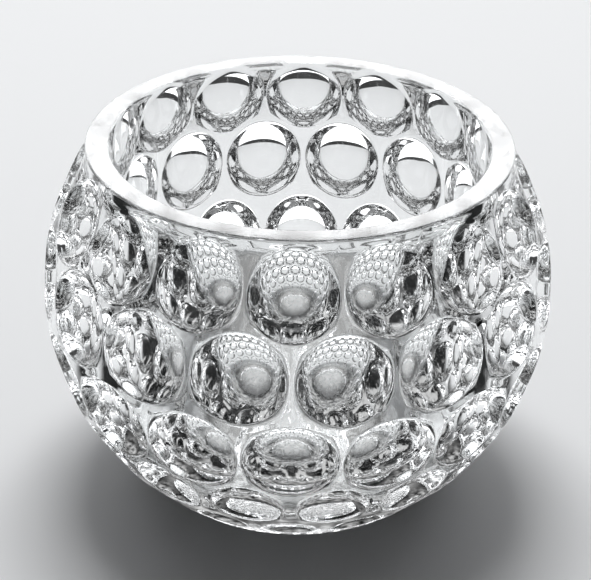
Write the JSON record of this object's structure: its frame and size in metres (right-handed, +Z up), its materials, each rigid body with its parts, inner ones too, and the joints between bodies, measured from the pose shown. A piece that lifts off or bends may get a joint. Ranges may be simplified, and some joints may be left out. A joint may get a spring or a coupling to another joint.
{
  "type": "glass candle holder",
  "caption": "Thick clear glass globe bowl with a flat rim and foot, its outside covered with staggered rows of round hollow lenses, for a tealight or votive candle.",
  "frame": {"origin": "centre of the foot, on the table", "axes": "+Z up along the bowl's axis, -Y towards the viewer, with a lens of the top row facing -Y"},
  "size_m": [0.1, 0.1, 0.072],
  "materials": {
    "clear_glass": "clear colourless pressed glass, ground lenses, polished"
  },
  "bodies": {
    "root": {"glass_bowl": "clear_glass"}
  },
  "joints": []
}
